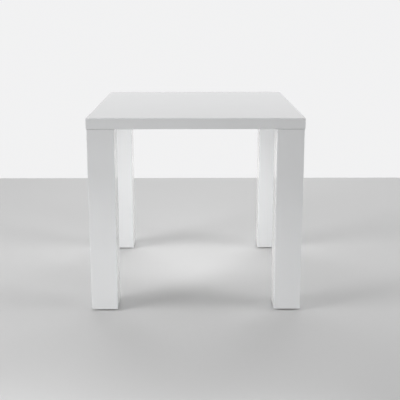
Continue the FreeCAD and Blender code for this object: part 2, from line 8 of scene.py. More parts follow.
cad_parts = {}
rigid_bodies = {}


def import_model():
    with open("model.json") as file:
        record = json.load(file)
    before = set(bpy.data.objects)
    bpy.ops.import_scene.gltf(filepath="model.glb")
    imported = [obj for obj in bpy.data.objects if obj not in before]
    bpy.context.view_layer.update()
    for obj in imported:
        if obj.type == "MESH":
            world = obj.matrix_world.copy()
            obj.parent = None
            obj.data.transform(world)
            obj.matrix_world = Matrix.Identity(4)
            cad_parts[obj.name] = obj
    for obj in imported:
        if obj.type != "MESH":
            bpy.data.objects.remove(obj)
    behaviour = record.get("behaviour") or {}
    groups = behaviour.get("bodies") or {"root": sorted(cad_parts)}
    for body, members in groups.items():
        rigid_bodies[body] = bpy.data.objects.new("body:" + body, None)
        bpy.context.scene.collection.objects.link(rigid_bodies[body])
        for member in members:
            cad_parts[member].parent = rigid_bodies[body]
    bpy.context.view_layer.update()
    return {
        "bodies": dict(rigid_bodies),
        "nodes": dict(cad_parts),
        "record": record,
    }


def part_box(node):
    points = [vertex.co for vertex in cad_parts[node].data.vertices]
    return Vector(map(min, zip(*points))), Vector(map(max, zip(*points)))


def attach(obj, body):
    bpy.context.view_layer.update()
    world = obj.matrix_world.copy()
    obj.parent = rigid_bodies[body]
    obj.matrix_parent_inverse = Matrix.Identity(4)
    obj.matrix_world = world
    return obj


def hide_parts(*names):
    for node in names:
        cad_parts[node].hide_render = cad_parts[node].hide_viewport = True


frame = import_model()

# A square white dining table on levelling feet. Metres. The floor is z = 0 and the table's front faces -Y.

nodes = frame["nodes"]
record = frame["record"]
CORNERS = [body.removesuffix("_foot_stud") for body in frame["bodies"] if body.endswith("_foot_stud")]
SLOT_OF_NODE = {part["node"]: part["material_slot"] for part in record["subparts"]}
MM = 0.001

# Camera: where it stands, how far it turns to the right and looks down, and its lens
CAMERA_PLACE = Vector((-0.0026, -2.9024, 1.1430))
CAMERA_TURN = 0.0073
CAMERA_DIP = 0.1944
CAMERA_SHIFT = -0.14
SENSOR_WIDTH_MM = 36
FOCAL_PIXELS = 698.7
FRAME_PIXELS = 400

# Stage: the floor, the walls round it, their tones, and the strength of the light from all round
FLOOR_REACH = 14.0
FLOOR_THICKNESS = 0.03
FLOOR_TONE = (0.68, 0.68, 0.68)
WALL_REACH = 7.0
WALL_HEIGHT = 5.0
REAR_WALL = 1.71
OTHER_WALLS = 3.0
BACKDROP_TONE = (0.885, 0.885, 0.89)
ALL_ROUND_STRENGTH = 0.2

# Patterns: how fine they are, how they stretch along the table's axes, and at which levels of noise they show
NOISE_MIDDLE = 0.5
FINE_RATIO = 4.0
WIPE_SCALE = 7.0
HAIRLINE_SCALE = 40.0
HAIRLINE_STRETCHES = ((0.12, 14.0, 6.0), (14.0, 0.12, 6.0))
HAIRLINE_LEVELS = (0.66, 0.74)
FIBRE_STRETCHES = ((1.0, 0.2, 0.5), (0.2, 1.0, 0.5))
FLECK_LEVELS = (0.38, 0.62)
RUBBED_LEVELS = (0.35, 0.65)
# How alike the plain and the softened normal are where wear starts and where it is full
WEAR_LIKENESS = (0.995, 0.85)

# Small pieces: the leg bolts and their washers
BOLT_FLATS = 13 * MM
BOLT_HEAD_HEIGHT = 5.3 * MM
WASHER_HOLE = 4.2 * MM
WASHER_BEVEL = 0.2 * MM
# Thread of the bolts and the studs, whose pitch is what a foot goes down in one turn
THREAD_PITCH = record["behaviour"]["couplings"][0]["ratio"] * math.tau
THREAD_RADIUS = 4 * MM
THREAD_DEPTH_SHARE = 0.61
THREAD_DEPTH = THREAD_DEPTH_SHARE * THREAD_PITCH
THREAD_BEVEL = 0.8 * MM
BEVEL_SLOPE = 1.0
# Flat crest and flat root of a thread, as shares of its pitch
CREST_SHARE = 0.125
ROOT_SHARE = 0.25
# Collar, neck and lip of a stud
COLLAR_FLATS = 14 * MM
COLLAR_HEIGHT = 2.8 * MM
NECK_RADIUS = 4 * MM
NECK_HEIGHT = 1.2 * MM
LIP_RADIUS = 5.25 * MM
# Plate screws
SCREW_RADIUS = 2.5 * MM
SCREW_THREAD_DEPTH = 0.75 * MM
SCREW_PITCH = 2.2 * MM
SCREW_HEAD_HEIGHT = 2.5 * MM
SCREW_POINT = 6 * MM
SOCKET_FLATS = 3.5 * MM
SOCKET_DEPTH = 1.6 * MM
# Hexagons: the angle of a side, and where their chamfer starts and how it slopes
HEXAGON_STEP = math.pi / 3
CHAMFER_START_SHARE = 0.95
CHAMFER_SLOPE = math.tan(math.radians(30))
CHAMFER_RINGS = 6
# How far a threaded rod starts inside its head
ROD_ROOT = 0.2 * MM
# Points nearer than this become one, and edges bent further than this stay crisp
SEAM = 0.001 * MM
CREASE_ANGLE = math.radians(32)
# Width of the flat sheet that round pieces are bent from
SHEET_WIDTH = 1.0
# A row's number is taken as equal to another within half a row
HALF_ROW = 0.5


# Node trees


def add_node(tree, kind, inputs=(), **settings):
    """A node with its settings, and its inputs by name or number: each a value, or a socket to link."""
    made = tree.nodes.new(kind)
    for name, value in settings.items():
        setattr(made, name, value)
    for key, value in dict(inputs).items():
        if isinstance(value, bpy.types.NodeSocket):
            tree.links.new(value, made.inputs[key])
        else:
            made.inputs[key].default_value = value
    return made


def calculate(tree, operation, *values, clamp=False):
    """The result of one Math node."""
    made = add_node(tree, "ShaderNodeMath", enumerate(values), operation=operation, use_clamp=clamp)
    return made.outputs[0]


def rescale(tree, value, low, high, to_low=0.0, to_high=1.0):
    """A value carried from one range to another, without going past its ends."""
    inputs = {"Value": value, "From Min": low, "From Max": high, "To Min": to_low, "To Max": to_high}
    return add_node(tree, "ShaderNodeMapRange", inputs).outputs["Result"]


def mix_colours(tree, share, first, second):
    """A mix of two colours. The Mix node's sockets go by number, because their names repeat."""
    inputs = {0: share, 6: first, 7: second}
    return add_node(tree, "ShaderNodeMix", inputs, data_type="RGBA").outputs[2]


def rgba(colour):
    return (*colour, 1.0)


def effect(name, inputs, outputs):
    """An empty shader group with named inputs and outputs, its input sockets and its output node."""
    group = bpy.data.node_groups.new(name, "ShaderNodeTree")
    kinds = {"value": "NodeSocketFloat", "colour": "NodeSocketColor"}
    for socket, kind in inputs.items():
        group.interface.new_socket(socket, in_out="INPUT", socket_type=kinds[kind])
    for socket, kind in outputs.items():
        group.interface.new_socket(socket, in_out="OUTPUT", socket_type=kinds[kind])
    return group, group.nodes.new("NodeGroupInput").outputs, group.nodes.new("NodeGroupOutput")


def place_of(tree, stretch):
    """Object coordinates, stretched along the table's axes."""
    here = add_node(tree, "ShaderNodeTexCoord").outputs["Object"]
    return add_node(tree, "ShaderNodeMapping", {"Vector": here, "Scale": stretch}).outputs["Vector"]


def noise(tree, scale, stretch=(1, 1, 1), detail=2.0):
    inputs = {"Vector": place_of(tree, stretch), "Scale": scale, "Detail": detail}
    return add_node(tree, "ShaderNodeTexNoise", inputs).outputs["Fac"]


# Effects that several finishes share


def tone_drift_effect():
    """A colour that drifts a little lighter and darker over the piece."""
    inputs = {"Color": "colour", "Scale": "value", "Amount": "value"}
    group, given, result = effect("tone_drift", inputs, {"Color": "colour"})
    drift = calculate(group, "SUBTRACT", noise(group, given["Scale"]), NOISE_MIDDLE)
    level = calculate(group, "MULTIPLY_ADD", drift, given["Amount"], 1.0)
    inputs = {0: given["Color"], "Scale": level}
    scaled = add_node(group, "ShaderNodeVectorMath", inputs, operation="SCALE")
    group.links.new(scaled.outputs[0], result.inputs["Color"])
    return group


def relief_effect():
    """The height of a sprayed, rolled or moulded surface: broad swells with a finer texture on them."""
    inputs = {"Scale": "value", "Fine Share": "value"}
    group, given, result = effect("relief", inputs, {"Height": "value"})
    swell = noise(group, given["Scale"], detail=1.0)
    fine = noise(group, calculate(group, "MULTIPLY", given["Scale"], FINE_RATIO))
    height = add_node(group, "ShaderNodeMix", {0: given["Fine Share"], 2: swell, 3: fine})
    group.links.new(height.outputs[0], result.inputs["Height"])
    return group


def rub_marks_effect():
    """Roughness with faint cloudy wipe marks and fine hairlines both ways."""
    inputs = {"Roughness": "value", "Haze": "value", "Hairlines": "value"}
    group, given, result = effect("rub_marks", inputs, {"Roughness": "value"})
    cloud = calculate(group, "SUBTRACT", noise(group, WIPE_SCALE, detail=4.0), NOISE_MIDDLE)
    hazy = calculate(group, "MULTIPLY_ADD", cloud, given["Haze"], given["Roughness"])
    lines = [
        rescale(group, noise(group, HAIRLINE_SCALE, stretch, detail=3.0), *HAIRLINE_LEVELS)
        for stretch in HAIRLINE_STRETCHES
    ]
    marked = calculate(group, "MAXIMUM", *lines)
    total = calculate(group, "MULTIPLY_ADD", marked, given["Hairlines"], hazy)
    group.links.new(total, result.inputs["Roughness"])
    return group


def fibres_effect():
    """Short fibres pressed flat: a mask of pale and dark flecks, and their height."""
    group, given, result = effect("fibres", {"Scale": "value"}, {"Flecks": "value", "Height": "value"})
    layers = [noise(group, given["Scale"], stretch, detail=3.0) for stretch in FIBRE_STRETCHES]
    both = calculate(group, "DIVIDE", calculate(group, "ADD", *layers), len(layers))
    group.links.new(rescale(group, both, *FLECK_LEVELS), result.inputs["Flecks"])
    group.links.new(both, result.inputs["Height"])
    return group


def edge_wear_effect():
    """A mask of where hands and cloths have rubbed along the edges, broken up here and there."""
    inputs = {"Reach": "value", "Breaks": "value"}
    group, given, result = effect("edge_wear", inputs, {"Mask": "value"})
    softened = add_node(group, "ShaderNodeBevel", {"Radius": given["Reach"]}).outputs[0]
    plain = add_node(group, "ShaderNodeNewGeometry").outputs["Normal"]
    likeness = add_node(group, "ShaderNodeVectorMath", {0: softened, 1: plain}, operation="DOT_PRODUCT")
    edge = rescale(group, likeness.outputs["Value"], *WEAR_LIKENESS)
    rubbed = rescale(group, noise(group, given["Breaks"], detail=3.0), *RUBBED_LEVELS)
    group.links.new(calculate(group, "MULTIPLY", edge, rubbed), result.inputs["Mask"])
    return group


EFFECTS = {
    made.name: made
    for made in (
        tone_drift_effect(),
        relief_effect(),
        rub_marks_effect(),
        fibres_effect(),
        edge_wear_effect(),
    )
}


# Finishes


def use_effect(tree, name, inputs):
    return add_node(tree, "ShaderNodeGroup", inputs, node_tree=EFFECTS[name]).outputs


def new_finish(name):
    """An empty material with its shader."""
    made = bpy.data.materials.new(name)
    made.use_nodes = True
    return made, made.node_tree, made.node_tree.nodes["Principled BSDF"]


def drifting(tree, colour, scale, amount):
    """A colour, or the socket of one, that drifts a little over the piece."""
    return use_effect(tree, "tone_drift", {"Color": colour, "Scale": scale, "Amount": amount})["Color"]


def rub_edges(tree, shader, colour, rubbed_colour, share, reach, breaks):
    """Colours the piece, with a share of another colour where edges are rubbed, and gives that mask."""
    mask = use_effect(tree, "edge_wear", {"Reach": reach, "Breaks": breaks})["Mask"]
    mixed = mix_colours(tree, calculate(tree, "MULTIPLY", mask, share), colour, rgba(rubbed_colour))
    tree.links.new(mixed, shader.inputs["Base Color"])
    return mask


def rubbed_gloss(tree, roughness, haze, hairlines):
    """A roughness that varies with wipe marks and hairlines."""
    inputs = {"Roughness": roughness, "Haze": haze, "Hairlines": hairlines}
    return use_effect(tree, "rub_marks", inputs)["Roughness"]


def raise_surface(tree, shader, height, depth):
    """Lets a height shape the surface's normal, in metres from its lowest to its highest."""
    inputs = {"Height": height, "Distance": depth}
    tree.links.new(add_node(tree, "ShaderNodeBump", inputs).outputs["Normal"], shader.inputs["Normal"])


def texture(tree, shader, scale, fine_share, depth):
    """Shapes the surface as it was sprayed, rolled or moulded."""
    height = use_effect(tree, "relief", {"Scale": scale, "Fine Share": fine_share})["Height"]
    raise_surface(tree, shader, height, depth)


def white_lacquer():
    """Sprayed and polished gloss white, with the faint orange peel of a thick coat."""
    made, tree, shader = new_finish("white_lacquer")
    white = drifting(tree, rgba((0.80, 0.806, 0.812)), scale=3.0, amount=0.03)
    rubbed_white = (0.70, 0.695, 0.67)
    mask = rub_edges(tree, shader, white, rubbed_white, share=0.35, reach=1.2 * MM, breaks=25.0)
    gloss = rubbed_gloss(tree, roughness=0.085, haze=0.06, hairlines=0.05)
    edge_dulling = 0.08
    dulled = calculate(tree, "MULTIPLY_ADD", mask, edge_dulling, gloss)
    tree.links.new(dulled, shader.inputs["Roughness"])
    texture(tree, shader, scale=260.0, fine_share=0.15, depth=0.02 * MM)
    shader.inputs["IOR"].default_value = 1.5
    return made


def white_underside():
    """Matt white primer put on with a roller."""
    made, tree, shader = new_finish("white_underside")
    white = drifting(tree, rgba((0.74, 0.74, 0.73)), scale=5.0, amount=0.06)
    tree.links.new(white, shader.inputs["Base Color"])
    gloss = rubbed_gloss(tree, roughness=0.58, haze=0.12, hairlines=0.0)
    tree.links.new(gloss, shader.inputs["Roughness"])
    texture(tree, shader, scale=420.0, fine_share=0.5, depth=0.15 * MM)
    return made


def fibrous(name, fibre_scale, dark, pale, drift_scale, drift_amount, rough_dark, rough_pale, depth):
    """Dark and pale fibres pressed together."""
    made, tree, shader = new_finish(name)
    fibres = use_effect(tree, "fibres", {"Scale": fibre_scale})
    colour = mix_colours(tree, fibres["Flecks"], rgba(dark), rgba(pale))
    tree.links.new(drifting(tree, colour, drift_scale, drift_amount), shader.inputs["Base Color"])
    roughness = rescale(tree, fibres["Flecks"], 0.0, 1.0, rough_dark, rough_pale)
    tree.links.new(roughness, shader.inputs["Roughness"])
    raise_surface(tree, shader, fibres["Height"], depth)
    return made


def raw_board():
    """Sawn fibreboard."""
    return fibrous(
        "raw_board",
        fibre_scale=650.0,
        dark=(0.40, 0.28, 0.17),
        pale=(0.62, 0.47, 0.32),
        drift_scale=9.0,
        drift_amount=0.16,
        rough_dark=0.92,
        rough_pale=0.78,
        depth=0.3 * MM,
    )


def honeycomb_paper():
    """Unbleached paper."""
    return fibrous(
        "honeycomb_paper",
        fibre_scale=900.0,
        dark=(0.40, 0.29, 0.18),
        pale=(0.56, 0.43, 0.29),
        drift_scale=14.0,
        drift_amount=0.12,
        rough_dark=0.88,
        rough_pale=0.74,
        depth=0.1 * MM,
    )


def plated_steel():
    """Bright zinc plate."""
    made, tree, shader = new_finish("plated_steel")
    zinc = drifting(tree, rgba((0.62, 0.63, 0.64)), scale=60.0, amount=0.25)
    bright_zinc = (0.78, 0.78, 0.78)
    rub_edges(tree, shader, zinc, bright_zinc, share=0.6, reach=0.5 * MM, breaks=180.0)
    gloss = rubbed_gloss(tree, roughness=0.30, haze=0.16, hairlines=0.12)
    tree.links.new(gloss, shader.inputs["Roughness"])
    texture(tree, shader, scale=900.0, fine_share=0.5, depth=0.02 * MM)
    shader.inputs["Metallic"].default_value = 1.0
    return made


def foot_nylon():
    """Dark grey nylon with a spark-eroded grain."""
    made, tree, shader = new_finish("foot_nylon")
    grey = drifting(tree, rgba((0.055, 0.056, 0.06)), scale=40.0, amount=0.3)
    scuffed_grey = (0.13, 0.13, 0.13)
    rub_edges(tree, shader, grey, scuffed_grey, share=0.7, reach=1.0 * MM, breaks=120.0)
    gloss = rubbed_gloss(tree, roughness=0.48, haze=0.18, hairlines=0.08)
    tree.links.new(gloss, shader.inputs["Roughness"])
    texture(tree, shader, scale=1400.0, fine_share=0.4, depth=0.08 * MM)
    return made


FINISHES = {
    make.__name__: make()
    for make in (white_lacquer, white_underside, raw_board, honeycomb_paper, plated_steel, foot_nylon)
}


def finish_nodes():
    for name, node in nodes.items():
        node.data.materials.clear()
        node.data.materials.append(FINISHES[SLOT_OF_NODE[name]])


# Geometry trees that grow the small pieces


def geometry_tree(name, inputs):
    """An empty geometry tree with named inputs, its input sockets and its output node."""
    kinds = {
        "size": "NodeSocketFloat",
        "count": "NodeSocketInt",
        "finish": "NodeSocketMaterial",
        "piece": "NodeSocketObject",
        "points": "NodeSocketGeometry",
    }
    tree = bpy.data.node_groups.new(name, "GeometryNodeTree")
    tree.interface.new_socket("Geometry", in_out="OUTPUT", socket_type="NodeSocketGeometry")
    for socket, kind in inputs.items():
        tree.interface.new_socket(socket, in_out="INPUT", socket_type=kinds[kind])
    return tree, tree.nodes.new("NodeGroupInput").outputs, tree.nodes.new("NodeGroupOutput")


def end_tree(tree, result, geometry, finish):
    """Closes seams, shades the rounded faces smoothly and sets the finish."""
    real = add_node(tree, "GeometryNodeRealizeInstances", {"Geometry": geometry}).outputs[0]
    inputs = {"Geometry": real, "Distance": SEAM}
    closed = add_node(tree, "GeometryNodeMergeByDistance", inputs).outputs[0]
    inputs = {0: closed, "Shade Smooth": True}
    smooth = add_node(tree, "GeometryNodeSetShadeSmooth", inputs, domain="FACE").outputs[0]
    angle = add_node(tree, "GeometryNodeInputMeshEdgeAngle").outputs["Unsigned Angle"]
    corners = calculate(tree, "GREATER_THAN", angle, CREASE_ANGLE)
    inputs = {0: smooth, "Selection": corners, "Shade Smooth": False}
    crisp = add_node(tree, "GeometryNodeSetShadeSmooth", inputs, domain="EDGE").outputs[0]
    painted = add_node(tree, "GeometryNodeSetMaterial", {"Geometry": crisp, "Material": finish})
    tree.links.new(painted.outputs[0], result.inputs[0])


def sheet_to_wrap(tree, segments, rows):
    """A flat sheet, and for each of its points its share of a full turn and the number of its row."""
    columns = calculate(tree, "ADD", segments, 1)
    inputs = {"Size X": SHEET_WIDTH, "Size Y": SHEET_WIDTH, "Vertices X": columns, "Vertices Y": rows}
    sheet = add_node(tree, "GeometryNodeMeshGrid", inputs).outputs["Mesh"]
    here = add_node(tree, "GeometryNodeInputPosition").outputs[0]
    flat = add_node(tree, "ShaderNodeSeparateXYZ", {0: here}).outputs
    turn = calculate(tree, "ADD", flat["X"], SHEET_WIDTH / 2)
    up = calculate(tree, "ADD", flat["Y"], SHEET_WIDTH / 2)
    row = calculate(tree, "MULTIPLY", up, calculate(tree, "SUBTRACT", rows, 1))
    return sheet, turn, calculate(tree, "ROUND", row)


def wrap_round(tree, sheet, turn, radius, height):
    """Bends the sheet round the upright axis."""
    angle = calculate(tree, "MULTIPLY", turn, math.tau)
    x = calculate(tree, "MULTIPLY", radius, calculate(tree, "COSINE", angle))
    y = calculate(tree, "MULTIPLY", radius, calculate(tree, "SINE", angle))
    place = add_node(tree, "ShaderNodeCombineXYZ", {"X": x, "Y": y, "Z": height}).outputs[0]
    return add_node(tree, "GeometryNodeSetPosition", {"Geometry": sheet, "Position": place}).outputs[0]


def turned_tree():
    """Turns a profile round the upright axis. A point of the profile holds the radius of its ring, the
    size across flats where the ring is six-sided, and its height."""
    inputs = {"Profile": "piece", "Segments": "count", "Finish": "finish"}
    tree, given, result = geometry_tree("turned_piece", inputs)
    profile = add_node(tree, "GeometryNodeObjectInfo", {"Object": given["Profile"]}).outputs["Geometry"]
    rows = add_node(tree, "GeometryNodeAttributeDomainSize", {"Geometry": profile}).outputs["Point Count"]
    sheet, turn, row = sheet_to_wrap(tree, given["Segments"], rows)
    here = add_node(tree, "GeometryNodeInputPosition").outputs[0]
    inputs = {"Geometry": profile, "Value": here, "Index": row}
    settings = {"data_type": "FLOAT_VECTOR", "domain": "POINT"}
    point = add_node(tree, "GeometryNodeSampleIndex", inputs, **settings).outputs[0]
    radius, flats, height = add_node(tree, "ShaderNodeSeparateXYZ", {0: point}).outputs
    angle = calculate(tree, "MULTIPLY", turn, math.tau)
    within = calculate(tree, "FLOORED_MODULO", angle, HEXAGON_STEP)
    slant = calculate(tree, "COSINE", calculate(tree, "SUBTRACT", within, HEXAGON_STEP / 2))
    side = calculate(tree, "DIVIDE", calculate(tree, "DIVIDE", flats, 2), slant)
    beyond = calculate(tree, "MAXIMUM", calculate(tree, "SUBTRACT", radius, side), 0.0)
    cut = calculate(tree, "MULTIPLY", beyond, calculate(tree, "GREATER_THAN", flats, 0.0))
    wrapped = wrap_round(tree, sheet, turn, calculate(tree, "SUBTRACT", radius, cut), height)
    end_tree(tree, result, wrapped, given["Finish"])
    return tree


def threaded_tree():
    """A rod with a screw thread, bevelled or pointed at its top end, and the head it grows from."""
    sizes = ("Radius", "Depth", "Pitch", "Start", "Length", "End Radius", "End Slope")
    inputs = {name: "size" for name in sizes}
    inputs |= {"Segments": "count", "Steps": "count", "Head": "piece", "Finish": "finish"}
    tree, given, result = geometry_tree("threaded_rod", inputs)
    turns = calculate(tree, "DIVIDE", given["Length"], given["Pitch"])
    steps = calculate(tree, "CEIL", calculate(tree, "MULTIPLY", turns, given["Steps"]))
    # One row more than there are steps, and one at each end that closes the rod
    rows = calculate(tree, "ADD", steps, 3)
    sheet, turn, row = sheet_to_wrap(tree, given["Segments"], rows)
    share = calculate(tree, "DIVIDE", calculate(tree, "SUBTRACT", row, 1), steps, clamp=True)
    along = calculate(tree, "MULTIPLY", share, given["Length"])
    pitches = calculate(tree, "DIVIDE", along, given["Pitch"])
    phase = calculate(tree, "FRACT", calculate(tree, "SUBTRACT", pitches, turn))
    flank = calculate(tree, "ABSOLUTE", calculate(tree, "MULTIPLY_ADD", phase, 2, -1))
    valley = rescale(tree, flank, CREST_SHARE, 1 - ROOT_SHARE)
    thread = calculate(tree, "SUBTRACT", given["Radius"], calculate(tree, "MULTIPLY", valley, given["Depth"]))
    to_end = calculate(tree, "SUBTRACT", given["Length"], along)
    taper = calculate(tree, "MULTIPLY_ADD", to_end, given["End Slope"], given["End Radius"])
    is_first = calculate(tree, "LESS_THAN", row, HALF_ROW)
    is_last = calculate(tree, "GREATER_THAN", row, calculate(tree, "SUBTRACT", rows, 1 + HALF_ROW))
    is_side = calculate(tree, "SUBTRACT", 1, calculate(tree, "ADD", is_first, is_last))
    radius = calculate(tree, "MULTIPLY", calculate(tree, "MINIMUM", thread, taper), is_side)
    height = calculate(tree, "ADD", along, given["Start"])
    rod = wrap_round(tree, sheet, turn, radius, height)
    head = add_node(tree, "GeometryNodeObjectInfo", {"Object": given["Head"]}).outputs["Geometry"]
    whole = add_node(tree, "GeometryNodeJoinGeometry", {0: rod})
    tree.links.new(head, whole.inputs[0])
    end_tree(tree, result, whole.outputs[0], given["Finish"])
    return tree


def set_out_tree():
    """Puts a copy of one piece at each of its places."""
    inputs = {"Places": "points", "Piece": "piece", "Finish": "finish"}
    tree, given, result = geometry_tree("set_out", inputs)
    piece = add_node(tree, "GeometryNodeObjectInfo", {"Object": given["Piece"]}).outputs["Geometry"]
    copies = add_node(tree, "GeometryNodeInstanceOnPoints", {"Points": given["Places"], "Instance": piece})
    real = add_node(tree, "GeometryNodeRealizeInstances", {"Geometry": copies.outputs[0]}).outputs[0]
    painted = add_node(tree, "GeometryNodeSetMaterial", {"Geometry": real, "Material": given["Finish"]})
    tree.links.new(painted.outputs[0], result.inputs[0])
    return tree


TURNED = turned_tree()
THREADED = threaded_tree()
SET_OUT = set_out_tree()


def new_object(name, mesh):
    made = bpy.data.objects.new(name, mesh)
    bpy.context.scene.collection.objects.link(made)
    return made


def points_mesh(name, points):
    mesh = bpy.data.meshes.new(name)
    mesh.from_pydata(points, [], [])
    return mesh


def drop_empty_slots(mesh):
    """Takes away the empty material slots that grids bring along."""
    for index in reversed(range(len(mesh.materials))):
        if mesh.materials[index] is None:
            mesh.materials.pop(index=index)


def grow(name, tree, values, start=None):
    """The plain mesh that a tree makes from its named values."""
    holder = new_object(name, start or bpy.data.meshes.new(name))
    steps = holder.modifiers.new("grow", "NODES")
    steps.node_group = tree
    for socket in tree.interface.items_tree:
        if socket.in_out == "INPUT" and socket.name in values:
            steps[socket.identifier] = values[socket.name]
    ready = holder.evaluated_get(bpy.context.evaluated_depsgraph_get())
    mesh = bpy.data.meshes.new_from_object(ready)
    bpy.data.objects.remove(holder)
    drop_empty_slots(mesh)
    mesh.name = name
    return mesh


def turned(name, profile, finish, segments=72):
    holder = new_object(f"{name}_profile", points_mesh(f"{name}_profile", profile))
    values = {"Profile": holder, "Segments": segments, "Finish": FINISHES[finish]}
    mesh = grow(name, TURNED, values)
    bpy.data.objects.remove(holder)
    return mesh


def threaded(name, head, finish, thread):
    holder = new_object(f"{name}_head", head)
    mesh = grow(name, THREADED, {"Head": holder, "Finish": FINISHES[finish], **thread})
    bpy.data.objects.remove(holder)
    return mesh


def set_out(name, piece, places, finish):
    holder = new_object(f"{name}_piece", piece)
    mesh = grow(name, SET_OUT, {"Piece": holder, "Finish": FINISHES[finish]}, points_mesh(name, places))
    bpy.data.objects.remove(holder)
    return mesh


# Small pieces


def solid_boxes(name):
    """The lowest and highest corners of each solid in a node, in order of their places."""
    shape = bmesh.new()
    shape.from_mesh(nodes[name].data)
    bmesh.ops.remove_doubles(shape, verts=shape.verts, dist=SEAM)
    waiting = set(shape.verts)
    boxes = []
    while waiting:
        reached = [waiting.pop()]
        for corner in reached:
            for edge in corner.link_edges:
                other = edge.other_vert(corner)
                if other in waiting:
                    waiting.remove(other)
                    reached.append(other)
        places = list(zip(*(corner.co for corner in reached)))
        boxes.append((Vector(map(min, places)), Vector(map(max, places))))
    shape.free()
    return sorted(boxes, key=lambda box: box[0][:])


def middle_at(low, high, height):
    """The middle of a box, at a height."""
    return ((low.x + high.x) / 2, (low.y + high.y) / 2, height)


def stands_for(node, mesh, body):
    """Shows a mesh in place of a node of the frame."""
    made = new_object(f"{node}_detail", mesh)
    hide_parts(node)
    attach(made, body)


def round_row(radius, height):
    return (radius, 0, height)


def chamfered_rows(flats, height, rising):
    """Rings of a hexagon's chamfer, from its flat face at a height out to its corners."""
    inner = flats / 2 * CHAMFER_START_SHARE
    outer = flats / 2 / math.cos(HEXAGON_STEP / 2)
    rows = []
    for ring in range(CHAMFER_RINGS + 1):
        radius = inner + (outer - inner) * ring / CHAMFER_RINGS
        rows.append((radius, flats, height + rising * (radius - inner) * CHAMFER_SLOPE))
    return rows


def machine_thread(start, end, segments, steps):
    """What the bolts and the studs have for a thread, from one height to another."""
    return {
        "Radius": THREAD_RADIUS,
        "Depth": THREAD_DEPTH,
        "Pitch": THREAD_PITCH,
        "Start": start,
        "Length": end - start,
        "End Radius": THREAD_RADIUS - THREAD_BEVEL,
        "End Slope": BEVEL_SLOPE,
        "Segments": segments,
        "Steps": steps,
    }


def leg_bolts():
    head = [round_row(0, 0), *chamfered_rows(BOLT_FLATS, 0, rising=1)]
    corner = head[-1][0]
    head += [(corner, BOLT_FLATS, BOLT_HEAD_HEIGHT), round_row(0, BOLT_HEAD_HEIGHT)]
    boxes = solid_boxes("leg_bolts")
    low, high = boxes[0]
    thread = machine_thread(BOLT_HEAD_HEIGHT - ROD_ROOT, high.z - low.z, segments=28, steps=6)
    bolt = threaded("leg_bolt", turned("leg_bolt_head", head, "plated_steel"), "plated_steel", thread)
    places = [middle_at(low, high, low.z) for low, high in boxes]
    stands_for("leg_bolts", set_out("leg_bolts", bolt, places, "plated_steel"), "table")


def bolt_washers():
    boxes = solid_boxes("bolt_washers")
    low, high = boxes[0]
    outer = (high.x - low.x) / 2
    top = high.z - low.z
    profile = [
        round_row(WASHER_HOLE + WASHER_BEVEL, 0),
        round_row(outer - WASHER_BEVEL, 0),
        round_row(outer, WASHER_BEVEL),
        round_row(outer, top - WASHER_BEVEL),
        round_row(outer - WASHER_BEVEL, top),
        round_row(WASHER_HOLE + WASHER_BEVEL, top),
        round_row(WASHER_HOLE, top - WASHER_BEVEL),
        round_row(WASHER_HOLE, WASHER_BEVEL),
        round_row(WASHER_HOLE + WASHER_BEVEL, 0),
    ]
    washer = turned("bolt_washer", profile, "plated_steel", segments=48)
    places = [middle_at(low, high, low.z) for low, high in boxes]
    stands_for("bolt_washers", set_out("bolt_washers", washer, places, "plated_steel"), "table")


def plate_screws():
    """Countersunk screws that point down, with a six-sided socket."""
    boxes = solid_boxes("plate_screws")
    low, high = boxes[0]
    head_radius = (high.x - low.x) / 2
    socket_radius = SOCKET_FLATS / 2 / math.cos(HEXAGON_STEP / 2)
    head = [
        round_row(0, SOCKET_DEPTH),
        (socket_radius, SOCKET_FLATS, SOCKET_DEPTH),
        (socket_radius, SOCKET_FLATS, 0),
        round_row(head_radius, 0),
        round_row(SCREW_RADIUS, SCREW_HEAD_HEIGHT),
        round_row(0, SCREW_HEAD_HEIGHT),
    ]
    start = SCREW_HEAD_HEIGHT - ROD_ROOT
    thread = {
        "Radius": SCREW_RADIUS,
        "Depth": SCREW_THREAD_DEPTH,
        "Pitch": SCREW_PITCH,
        "Start": start,
        "Length": high.z - low.z - start,
        "End Radius": 0.0,
        "End Slope": SCREW_RADIUS / SCREW_POINT,
        "Segments": 24,
        "Steps": 8,
    }
    head_mesh = turned("plate_screw_head", head, "plated_steel", segments=48)
    screw = threaded("plate_screw", head_mesh, "plated_steel", thread)
    screw.transform(Matrix.Rotation(math.pi, 4, "X"))
    places = [middle_at(low, high, high.z) for low, high in boxes]
    stands_for("plate_screws", set_out("plate_screws", screw, places, "plated_steel"), "table")


def foot_studs():
    """Levelling screws: a lip and a neck in the pad, a collar for a spanner, and the thread."""
    for corner in CORNERS:
        node = f"{corner}_foot_stud"
        low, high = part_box(node)
        pad_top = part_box(f"{corner}_foot_base")[1].z
        neck = pad_top - low.z
        collar_top = neck + COLLAR_HEIGHT
        head = [
            round_row(0, 0),
            round_row(LIP_RADIUS, 0),
            round_row(LIP_RADIUS, neck - NECK_HEIGHT),
            round_row(NECK_RADIUS, neck - NECK_HEIGHT),
            round_row(NECK_RADIUS, neck),
            *chamfered_rows(COLLAR_FLATS, neck, rising=1),
            *reversed(chamfered_rows(COLLAR_FLATS, collar_top, rising=-1)),
            round_row(0, collar_top),
        ]
        thread = machine_thread(collar_top - ROD_ROOT, high.z - low.z, segments=40, steps=10)
        stud = threaded(node, turned(f"{node}_head", head, "plated_steel"), "plated_steel", thread)
        places = [middle_at(low, high, low.z)]
        stands_for(node, set_out(node, stud, places, "plated_steel"), node)


# Stage


def stage_piece(name, mesh, finish):
    mesh.materials.append(finish)
    made = new_object(name, mesh)
    return made


